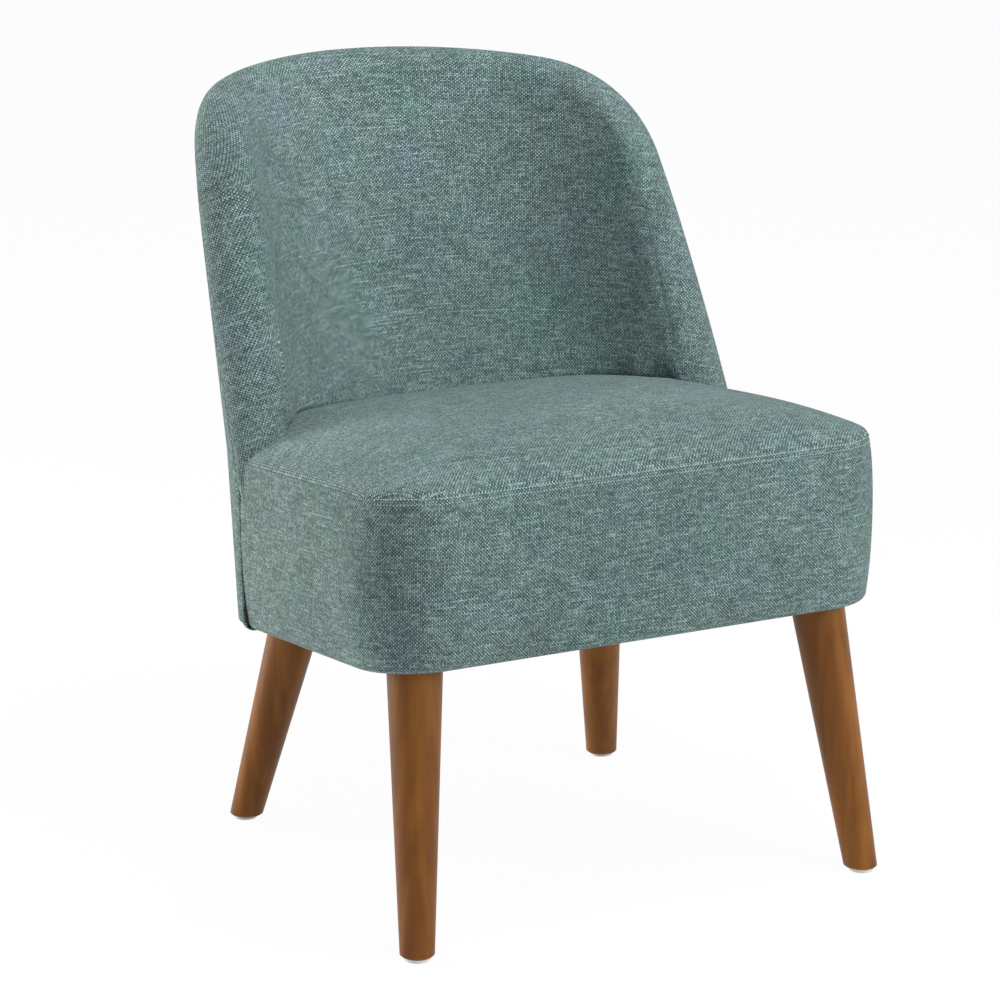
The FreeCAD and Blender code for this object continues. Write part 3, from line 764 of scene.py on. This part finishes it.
# %% Thicken the panels
def give_thickness(piece, thickness):
    """Back the cloth with its own thickness, on the inner side."""
    solid = piece.modifiers.new("thickness", "SOLIDIFY")
    solid.thickness = thickness * MM
    solid.offset = -1.0
    graph = bpy.context.evaluated_depsgraph_get()
    mesh = bpy.data.meshes.new_from_object(piece.evaluated_get(graph))
    piece.modifiers.clear()
    piece.data = mesh


panel_thickness = 1.5
cloth_panels = (seat_panel, boxing_band, back_panel, outside_panel)
for panel in cloth_panels:
    give_thickness(panel, panel_thickness)
    print(panel.name, len(panel.data.polygons), "faces")

# %% [markdown]
# ## Dust cover
# Under the seat a thin black cloth is stapled over the springs. It is a flat sheet that hangs a few
# millimetres in the middle, cut to the shape of the underside.

# %% Dust cover sheet
dust_cover_inset = 14.0
dust_rings = 20
dust_rear_steps = 60
dust_end_angle = end_angle - 4.0
dust_middle_y = fan_axis_y - 20.0
dust_sag = 3.0
dust_level = -0.75
dust_thickness = 0.5


def dust_rim():
    places = outline_points(dust_cover_inset, side_end_y - dust_cover_inset)
    for angle in spread(dust_end_angle, -dust_end_angle, dust_rear_steps):
        p = on_barrel(angle, barrel_z(angle, 0.0), dust_cover_inset)
        places.append((p.x, p.y))
    return places + places[:1]


def dust_ring(edge, share):
    ring = []
    for x, y in edge:
        py = dust_middle_y + (y - dust_middle_y) * share
        ring.append(Vector((x * share, py, seat_z(py, dust_level - dust_sag * (1 - share ** 2) ** 2))))
    return ring


dust_edge = dust_rim()
dust_rows = [dust_ring(dust_edge, share) for share in spread(0.0, 1.0, dust_rings)]
dust_sheet = cloth_from_grid("dust_sheet", dust_rows, [[(p.x, p.y) for p in row] for row in dust_rows])
merge_points(dust_sheet)
face_out(dust_sheet, len(dust_sheet.data.polygons) // 2, (0, 0, -1))
give_thickness(dust_sheet, dust_thickness)

# %% [markdown]
# ## Shader helpers
# A finish is a tree of shader nodes. These helpers each add one node and hand back what it puts out, so
# that a finish reads like a sum.

# %% Node helpers
def new_finish(name):
    finish = bpy.data.materials.new(name)
    finish.use_nodes = True
    shader = finish.node_tree.nodes["Principled BSDF"]
    return finish, finish.node_tree, shader


def put(tree, socket, value):
    if isinstance(value, bpy.types.NodeSocket):
        tree.links.new(value, socket)
    else:
        socket.default_value = value


def add_node(tree, kind, values):
    """New node with values or links on its named inputs."""
    node = tree.nodes.new(kind)
    for label, value in values.items():
        put(tree, node.inputs[label], value)
    return node


def calc(tree, operation, *values):
    node = tree.nodes.new("ShaderNodeMath")
    node.operation = operation
    for socket, value in zip(node.inputs, values):
        put(tree, socket, value)
    return node.outputs[0]


def blend_colour(tree, factor, first, second):
    node = tree.nodes.new("ShaderNodeMix")
    node.data_type = "RGBA"
    put(tree, node.inputs["Factor"], factor)
    put(tree, node.inputs[6], first)
    put(tree, node.inputs[7], second)
    return node.outputs[2]


def multiply_colour(tree, first, second):
    product = blend_colour(tree, 1.0, first, second)
    product.node.blend_type = "MULTIPLY"
    return product


def noise(tree, vector, scale, detail=2.0):
    values = {"Vector": vector, "Scale": scale, "Detail": detail}
    return add_node(tree, "ShaderNodeTexNoise", values).outputs["Fac"]


def pair(tree, u, v):
    return add_node(tree, "ShaderNodeCombineXYZ", {"X": u, "Y": v}).outputs[0]


def sharpen(tree, value, low, high):
    node = add_node(tree, "ShaderNodeMapRange", {"Value": value, "From Min": low, "From Max": high})
    node.interpolation_type = "SMOOTHSTEP"
    return node.outputs["Result"]


def bump(tree, shader, height, strength, distance):
    values = {"Height": height, "Strength": strength, "Distance": distance}
    node = add_node(tree, "ShaderNodeBump", values)
    tree.links.new(node.outputs["Normal"], shader.inputs["Normal"])


print("node helpers ready")

# %% [markdown]
# ## Weave
# The chenille is a plain weave, so its pattern is worked out from the map of each panel. Counted in
# threads, the whole part of a place says which thread it is on, and the rest says where it is on that
# thread.

# %% Weave helpers
thread_pitch = 1.65 * MM
thread_crown = 0.45  # how much a thread rises where it crosses over
thread_base = 0.55
thread_step = 0.73  # keeps the noise of neighbouring threads apart


def thread_places(tree):
    """Place on the cloth, counted in threads both ways."""
    cloth_map = tree.nodes.new("ShaderNodeUVMap")
    cloth_map.uv_map = "cloth"
    split = tree.nodes.new("ShaderNodeSeparateXYZ")
    tree.links.new(cloth_map.outputs[0], split.inputs[0])
    return [calc(tree, "DIVIDE", split.outputs[axis], thread_pitch) for axis in (0, 1)]


def rounded(tree, place):
    """Round section of the threads, highest on the middle of each."""
    return calc(tree, "SINE", calc(tree, "MULTIPLY", calc(tree, "FRACT", place), math.pi))


def thread_height(tree, section, crossing):
    return calc(tree, "MULTIPLY", section, calc(tree, "MULTIPLY_ADD", crossing, thread_crown, thread_base))


def on_top(tree, over, warp, weft):
    """The value of the thread that lies on top."""
    under = calc(tree, "SUBTRACT", 1.0, over)
    return calc(tree, "ADD", calc(tree, "MULTIPLY", warp, over), calc(tree, "MULTIPLY", weft, under))


def along_threads(tree, u, v, thread_u, thread_v, run):
    """Noise along the warp and along the weft, which changes slowly for a small run."""
    warp = pair(tree, calc(tree, "MULTIPLY", thread_u, thread_step), calc(tree, "MULTIPLY", v, run))
    weft = pair(tree, calc(tree, "MULTIPLY", u, run), calc(tree, "MULTIPLY", thread_v, thread_step))
    return noise(tree, warp, 1.0), noise(tree, weft, 1.0)


print("threads to the metre:", round(1 / thread_pitch))

# %% [markdown]
# ## Chenille
# Dark warp and pale weft cross over and under, with slubs and streaks along them, and painted shade darkens
# the gaps between the threads. The pile lies in patches, some bluish, and catches the light at a shallow
# angle, which is what sheen is for.

# %% Chenille
def grey(value):
    return (value, value, value, 1)


warp_tone = (0.056, 0.093, 0.092, 1)
weft_tone = (0.229, 0.326, 0.315, 1)
slub_tone = (0.219, 0.302, 0.292, 1)
# painted shade: the dark tone that the gaps between the threads take, standing in for the shade that falls
# into them
painted_gap_shade_tone = (0.030, 0.050, 0.050, 1)
fleck_tones = (grey(0.62), grey(1.42))
slub_run = 0.09
slub_range = (0.42, 0.75)
painted_gap_shade_range = (0.1, 0.6)
streak_run = 0.05  # how slowly the tone of a thread changes along it
streak_range = (0.3, 0.7)
weft_streak = (grey(0.87), grey(1.13))
warp_streak = (grey(0.93), grey(1.07))
patch_detail = 3.0
pile_patches = ((17.0, 0.48, 0.74, (1.00, 0.99, 1.10, 1)), (13.0, 0.50, 0.75, (0.90, 1.03, 0.95, 1)),
                (7.0, 0.40, 0.70, (1.18, 1.16, 1.15, 1)), (27.0, 0.50, 0.72, (0.86, 0.88, 0.88, 1)),
                (230.0, 0.40, 0.60, (1.10, 1.10, 1.10, 1)), (120.0, 0.42, 0.60, (0.93, 0.93, 0.93, 1)))
chenille_surface = {"Roughness": 0.92, "Specular IOR Level": 0.15, "Sheen Weight": 0.1,
                    "Sheen Roughness": 0.45, "Sheen Tint": (0.72, 0.74, 0.74, 1)}
weave_strength = 0.6
weave_height = 0.6 * MM


def make_chenille():
    finish, tree, shader = new_finish("teal_chenille")
    u, v = thread_places(tree)
    thread_u, thread_v = calc(tree, "FLOOR", u), calc(tree, "FLOOR", v)
    round_u, round_v = rounded(tree, u), rounded(tree, v)
    over = calc(tree, "FLOORED_MODULO", calc(tree, "ADD", thread_u, thread_v), 2.0)
    warp = thread_height(tree, round_u, round_v)
    weft = thread_height(tree, round_v, round_u)
    lift = on_top(tree, over, warp, weft)
    slub = on_top(tree, over, *along_threads(tree, u, v, thread_u, thread_v, slub_run))
    thread = blend_colour(tree, over, warp_tone, weft_tone)
    thread = blend_colour(tree, sharpen(tree, slub, *slub_range), thread, slub_tone)
    # painted shade: where the threads sink toward a gap, their colour runs into the dark gap tone
    tone = blend_colour(tree, sharpen(tree, lift, *painted_gap_shade_range), painted_gap_shade_tone, thread)
    fleck = tree.nodes.new("ShaderNodeTexWhiteNoise")
    fleck.noise_dimensions = "2D"
    tree.links.new(pair(tree, thread_u, thread_v), fleck.inputs["Vector"])
    tone = multiply_colour(tree, tone, blend_colour(tree, fleck.outputs["Value"], *fleck_tones))
    warp_run, weft_run = along_threads(tree, u, v, thread_u, thread_v, streak_run)
    for run, tones in ((weft_run, weft_streak), (warp_run, warp_streak)):
        streak = sharpen(tree, run, *streak_range)
        tone = multiply_colour(tree, tone, blend_colour(tree, streak, *tones))
    place = tree.nodes.new("ShaderNodeTexCoord").outputs["Object"]
    for scale, low, high, tint in pile_patches:
        patch = sharpen(tree, noise(tree, place, scale, patch_detail), low, high)
        tone = multiply_colour(tree, tone, blend_colour(tree, patch, grey(1), tint))
    tree.links.new(tone, shader.inputs["Base Color"])
    for label, value in chenille_surface.items():
        shader.inputs[label].default_value = value
    bump(tree, shader, lift, weave_strength, weave_height)
    return finish


finishes = {"teal_fabric": make_chenille()}
print("chenille:", len(finishes["teal_fabric"].node_tree.nodes), "nodes")

# %% [markdown]
# ## Grained finishes
# Wood, board, foam, felt and metal are a fine and a broad noise, mixed and stretched along one way. The
# same noise also changes the gloss a little and raises the grain.

# %% Grained finishes
grain_share = 0.6
grain_detail = 5.0
broad_scale = 0.2
grain_range = (0.32, 0.68)
gloss_swing = 0.12
even = (1.0, 1.0, 1.0)
along_x = (0.08, 1.0, 1.0)
along_z = (1.0, 1.0, 0.06)
along_web = (1.0, 1.0, 0.2)


def make_grained(name, dark, light, stretch, scale, roughness, lift, distance, metal=0.0, shine=0.5):
    finish, tree, shader = new_finish(name)
    place = tree.nodes.new("ShaderNodeTexCoord")
    mapping = tree.nodes.new("ShaderNodeMapping")
    mapping.inputs["Scale"].default_value = stretch
    tree.links.new(place.outputs["Object"], mapping.inputs["Vector"])
    grain = noise(tree, mapping.outputs[0], scale, grain_detail)
    broad = noise(tree, mapping.outputs[0], scale * broad_scale)
    fine_part = calc(tree, "MULTIPLY", grain, grain_share)
    mixed = calc(tree, "ADD", fine_part, calc(tree, "MULTIPLY", broad, 1 - grain_share))
    tone = blend_colour(tree, sharpen(tree, mixed, *grain_range), dark, light)
    tree.links.new(tone, shader.inputs["Base Color"])
    gloss = calc(tree, "MULTIPLY_ADD", grain, gloss_swing, roughness - gloss_swing / 2)
    tree.links.new(gloss, shader.inputs["Roughness"])
    shader.inputs["Metallic"].default_value = metal
    shader.inputs["Specular IOR Level"].default_value = shine
    bump(tree, shader, grain, lift, distance)
    return finish


grained_slots = {
    "stained_wood": ("stained_wood", (0.130, 0.042, 0.005, 1), (0.235, 0.088, 0.011, 1), along_z,
                     90.0, 0.42, 0.1, 0.0003, 0.0, 0.22),
    "frame_timber": ("frame_timber", (0.42, 0.28, 0.15, 1), (0.62, 0.46, 0.28, 1), along_x,
                     70.0, 0.65, 0.2, 0.0004),
    "fibre_board": ("fibre_board", (0.24, 0.17, 0.1, 1), (0.36, 0.27, 0.17, 1), even,
                    240.0, 0.85, 0.3, 0.0003),
    "foam": ("seat_foam_cells", (0.6, 0.54, 0.34, 1), (0.75, 0.69, 0.48, 1), even, 420.0, 0.9, 0.5, 0.0006),
    "wadding": ("fibre_wadding", (0.76, 0.76, 0.73, 1), (0.9, 0.9, 0.88, 1), even, 160.0, 0.95, 0.5, 0.001),
    "felt": ("grey_felt", (0.1, 0.095, 0.09, 1), (0.21, 0.2, 0.19, 1), even, 320.0, 0.95, 0.4, 0.0005),
    "dust_cloth": ("black_dust_cloth", (0.004, 0.004, 0.005, 1), (0.014, 0.014, 0.015, 1), even,
                   500.0, 0.8, 0.3, 0.0002),
    "webbing": ("woven_webbing", (0.16, 0.12, 0.07, 1), (0.28, 0.22, 0.14, 1), along_web,
                500.0, 0.8, 0.3, 0.0003),
    "spring_wire": ("spring_wire", (0.07, 0.07, 0.075, 1), (0.14, 0.14, 0.145, 1), even,
                    200.0, 0.38, 0.1, 0.0001, 1.0),
    "zinc_steel": ("zinc_steel", (0.42, 0.43, 0.44, 1), (0.56, 0.57, 0.58, 1), even,
                   260.0, 0.35, 0.1, 0.0001, 1.0),
    "glide_plastic": ("glide_plastic", (0.72, 0.72, 0.69, 1), (0.82, 0.82, 0.8, 1), even,
                      300.0, 0.5, 0.1, 0.0001),
}
for slot, values in grained_slots.items():
    finishes[slot] = make_grained(*values)
thread_finish = make_grained("pale_thread", (0.36, 0.46, 0.43, 1), (0.56, 0.66, 0.63, 1), even,
                             2600.0, 0.8, 0.3, 0.0002)
print("finishes:", len(finishes) + 1)

# %% [markdown]
# ## Give the finishes out
# The frame says which slot each of its nodes belongs to, and every slot has a finish of the same name.

# %% Finishes on the pieces
slot_of = {part["node"]: part["material_slot"] for part in frame["record"]["subparts"]}
for name, node in nodes.items():
    node.data.materials.clear()
    node.data.materials.append(finishes[slot_of[name]])
for panel in cloth_panels:
    panel.data.materials.clear()
    panel.data.materials.append(finishes["teal_fabric"])
dust_sheet.data.materials.append(finishes["dust_cloth"])
print("nodes with a finish:", len(slot_of))

# %% [markdown]
# ## One stitch, many times
# Geometry Nodes set one small stitch every few millimetres along a line. A stitch is a ball that is drawn
# out along the line.

# %% Stitch tree
ball_segments = 6
ball_rings = 5


def stitch_tree():
    tree = bpy.data.node_groups.new("stitches_along_line", "GeometryNodeTree")
    face = tree.interface
    face.new_socket("Geometry", in_out="INPUT", socket_type="NodeSocketGeometry")
    for label in ("Pitch", "Stitch length", "Thread radius"):
        face.new_socket(label, in_out="INPUT", socket_type="NodeSocketFloat")
    face.new_socket("Thread", in_out="INPUT", socket_type="NodeSocketMaterial")
    face.new_socket("Geometry", in_out="OUTPUT", socket_type="NodeSocketGeometry")
    add = tree.nodes.new
    start, end = add("NodeGroupInput"), add("NodeGroupOutput")
    points = add("GeometryNodeCurveToPoints")
    points.mode = "LENGTH"
    ball = add("GeometryNodeMeshUVSphere")
    ball.inputs["Segments"].default_value = ball_segments
    ball.inputs["Rings"].default_value = ball_rings
    ball.inputs["Radius"].default_value = 1.0
    turn = add("FunctionNodeAlignRotationToVector")
    turn.axis = "Z"
    half = add("ShaderNodeMath")
    half.operation = "MULTIPLY"
    half.inputs[1].default_value = 0.5
    size = add("ShaderNodeCombineXYZ")
    place = add("GeometryNodeInstanceOnPoints")
    real = add("GeometryNodeRealizeInstances")
    paint = add("GeometryNodeSetMaterial")
    links = ((start, "Geometry", points, "Curve"), (start, "Pitch", points, "Length"),
             (points, "Points", place, "Points"), (ball, "Mesh", place, "Instance"),
             (points, "Tangent", turn, "Vector"), (turn, "Rotation", place, "Rotation"),
             (start, "Stitch length", half, 0), (start, "Thread radius", size, 0),
             (start, "Thread radius", size, 1), (half, 0, size, 2), (size, 0, place, "Scale"),
             (place, "Instances", real, "Geometry"), (real, "Geometry", paint, "Geometry"),
             (start, "Thread", paint, "Material"), (paint, "Geometry", end, "Geometry"))
    for giver, output, taker, socket in links:
        tree.links.new(giver.outputs[output], taker.inputs[socket])
    return tree


stitcher = stitch_tree()
print("stitch tree:", len(stitcher.nodes), "nodes")

# %% [markdown]
# ## Stitches
# A row of pale topstitches holds the seam allowance down just under the seat seam, and the seam's own
# thread grins between the two panels. Both rows run along the front and part of the way round its two
# corners.

# %% Rows of stitches
def sew(name, places, length, radius):
    """A row of stitches along places in millimetres."""
    line = bpy.data.curves.new(name + "_line", "CURVE")
    line.dimensions = "3D"
    run = line.splines.new("POLY")
    run.points.add(len(places) - 1)
    for point, place in zip(run.points, places):
        point.co = (*(place * MM), 1.0)
    row = bpy.data.objects.new(name + "_line", line)
    scene.collection.objects.link(row)
    sewing = row.modifiers.new("stitches", "NODES")
    sewing.node_group = stitcher
    values = {"Pitch": stitch_pitch * MM, "Stitch length": length * MM, "Thread radius": radius * MM,
              "Thread": thread_finish}
    for item in stitcher.interface.items_tree:
        if item.in_out == "INPUT" and item.name in values:
            sewing[item.identifier] = values[item.name]
    graph = bpy.context.evaluated_depsgraph_get()
    mesh = bpy.data.meshes.new_from_object(row.evaluated_get(graph))
    bpy.data.objects.remove(row)
    stitches = bpy.data.objects.new(name, mesh)
    scene.collection.objects.link(stitches)
    print(name, len(mesh.polygons), "faces")
    return stitches


stitch_pitch = 3.2
stitched_end = front_y + corner_radius * 0.6
topstitch_drop = 5.0
topstitch_lift = 0.25
topstitch_length = 1.9
topstitch_radius = 0.34
seam_stitch_lift = 0.5
seam_stitch_length = 2.3
seam_stitch_radius = 0.42


def band_line(level, lift):
    """Line on the front of the band at a level, lifted off the cloth."""
    inset = band_inset(level)
    on_cloth = outline_points(inset, side_end_y)
    lifted = outline_points(inset - lift, side_end_y)
    line = []
    for (x, y), (lifted_x, lifted_y) in zip(on_cloth, lifted):
        if y < stitched_end:
            line.append(Vector((lifted_x, lifted_y, seat_z(y, level) + seam_lift(x, y))))
    return line


topstitch_line = band_line(boxing_height - topstitch_drop, topstitch_lift)
seam_line = band_line(boxing_height, seam_stitch_lift)
topstitches = sew("seat_topstitches", topstitch_line, topstitch_length, topstitch_radius)
seam_stitches = sew("seat_seam_stitches", seam_line, seam_stitch_length, seam_stitch_radius)

# %% [markdown]
# ## Lights
# Three large soft lights show the cloth plainly: a warm one low on the left and behind, one at the right in
# front and one above.

# %% Lights
light_target = Vector((0, 0, 0.4))
white = (1.0, 1.0, 1.0)
warm = (1.0, 0.95, 0.89)


def soft_light(name, place, size, power, tint):
    data = bpy.data.lights.new(name, "AREA")
    data.shape = "DISK"
    data.size = size
    data.energy = power
    data.color = tint
    lamp = bpy.data.objects.new(name, data)
    lamp.location = place
    lamp.rotation_euler = (light_target - Vector(place)).to_track_quat("-Z", "Y").to_euler()
    scene.collection.objects.link(lamp)
    print("light", name, power, "W")


soft_light("left_side", (-2.2, 2.0, 0.75), 1.5, 86.0, warm)
soft_light("right_front", (1.8, -2.7, 1.6), 1.6, 57.0, white)
soft_light("above", (0.2, -0.7, 3.1), 1.6, 62.0, white)

# %% [markdown]
# ## Surroundings and floor
# The surroundings and the floor are white where the camera looks at them. On the chair the surroundings
# shine with less light, and the floor keeps a faint shadow.

# %% Studio
def seen_directly(tree):
    """1 where the camera, a mirror or glass looks, 0 for light that falls on things."""
    path = tree.nodes.new("ShaderNodeLightPath")
    either = calc(tree, "MAXIMUM", path.outputs["Is Camera Ray"], path.outputs["Is Glossy Ray"])
    return calc(tree, "MAXIMUM", either, path.outputs["Is Transmission Ray"])


surroundings = 0.31
world = bpy.data.worlds.new("studio")
world.use_nodes = True
scene.world = world
back = world.node_tree.nodes["Background"]
back.inputs["Color"].default_value = grey(1)
seen = seen_directly(world.node_tree)
strength = calc(world.node_tree, "MULTIPLY_ADD", seen, 1.0 - surroundings, surroundings)
world.node_tree.links.new(strength, back.inputs["Strength"])

floor_half = 40.0
floor_tone = 0.9
glow_share = 0.96
floor_mesh = bpy.data.meshes.new("floor")
corners = [(x * floor_half, y * floor_half, 0) for x, y in ((-1, -1), (1, -1), (1, 1), (-1, 1))]
floor_mesh.from_pydata(corners, [], [(0, 1, 2, 3)])
floor = bpy.data.objects.new("floor", floor_mesh)
scene.collection.objects.link(floor)
floor_finish, floor_tree, floor_shader = new_finish("pale_floor")
floor_shader.inputs["Base Color"].default_value = grey(floor_tone)
floor_shader.inputs["Roughness"].default_value = 1.0
glow = floor_tree.nodes.new("ShaderNodeEmission")
mixer = floor_tree.nodes.new("ShaderNodeMixShader")
floor_tree.links.new(calc(floor_tree, "MULTIPLY", seen_directly(floor_tree), glow_share), mixer.inputs[0])
floor_tree.links.new(floor_shader.outputs[0], mixer.inputs[1])
floor_tree.links.new(glow.outputs[0], mixer.inputs[2])
floor_tree.links.new(mixer.outputs[0], floor_tree.nodes["Material Output"].inputs["Surface"])
floor_mesh.materials.append(floor_finish)
print("studio ready")

# %% [markdown]
# ## Put the pieces on the frame
# Each cloth piece rides on the chair and stands for the solid that it covers, which is hidden.

# %% Ride and replace
covered = {seat_panel: "seat_top_cover", boxing_band: "seat_boxing", back_panel: "inside_back_cover",
           outside_panel: "outside_back_cover"}
for panel, node in covered.items():
    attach(panel, "root")
    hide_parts(node)
for row in (topstitches, seam_stitches):
    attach(row, "root")
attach(dust_sheet, "root")
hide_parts("dust_cover")
